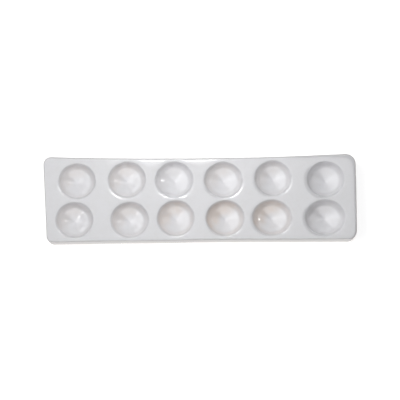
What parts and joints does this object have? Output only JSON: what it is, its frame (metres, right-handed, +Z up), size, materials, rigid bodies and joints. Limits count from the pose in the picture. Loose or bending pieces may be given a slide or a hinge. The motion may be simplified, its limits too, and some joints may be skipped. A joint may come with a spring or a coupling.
{
  "type": "egg holder tray",
  "caption": "Long low glazed ceramic tray with rounded corners and two rows of round cone-bottomed wells that hold eggs upright.",
  "frame": {"origin": "centre of the tray's footprint, on the surface it stands on", "axes": "+X along the tray to its right end, +Y to its rear long side, +Z up"},
  "size_m": [0.3796, 0.1046, 0.028],
  "materials": {
    "white_glaze": "gloss"
  },
  "bodies": {
    "root": {"deck_slab": "white_glaze", "front_wall": "white_glaze", "left_end_wall": "white_glaze", "rear_wall": "white_glaze", "right_end_wall": "white_glaze", "well_cup_front_1": "white_glaze", "well_cup_front_2": "white_glaze", "well_cup_front_3": "white_glaze", "well_cup_front_4": "white_glaze", "well_cup_front_5": "white_glaze", "well_cup_front_6": "white_glaze", "well_cup_rear_1": "white_glaze", "well_cup_rear_2": "white_glaze", "well_cup_rear_3": "white_glaze", "well_cup_rear_4": "white_glaze", "well_cup_rear_5": "white_glaze", "well_cup_rear_6": "white_glaze"}
  },
  "joints": []
}
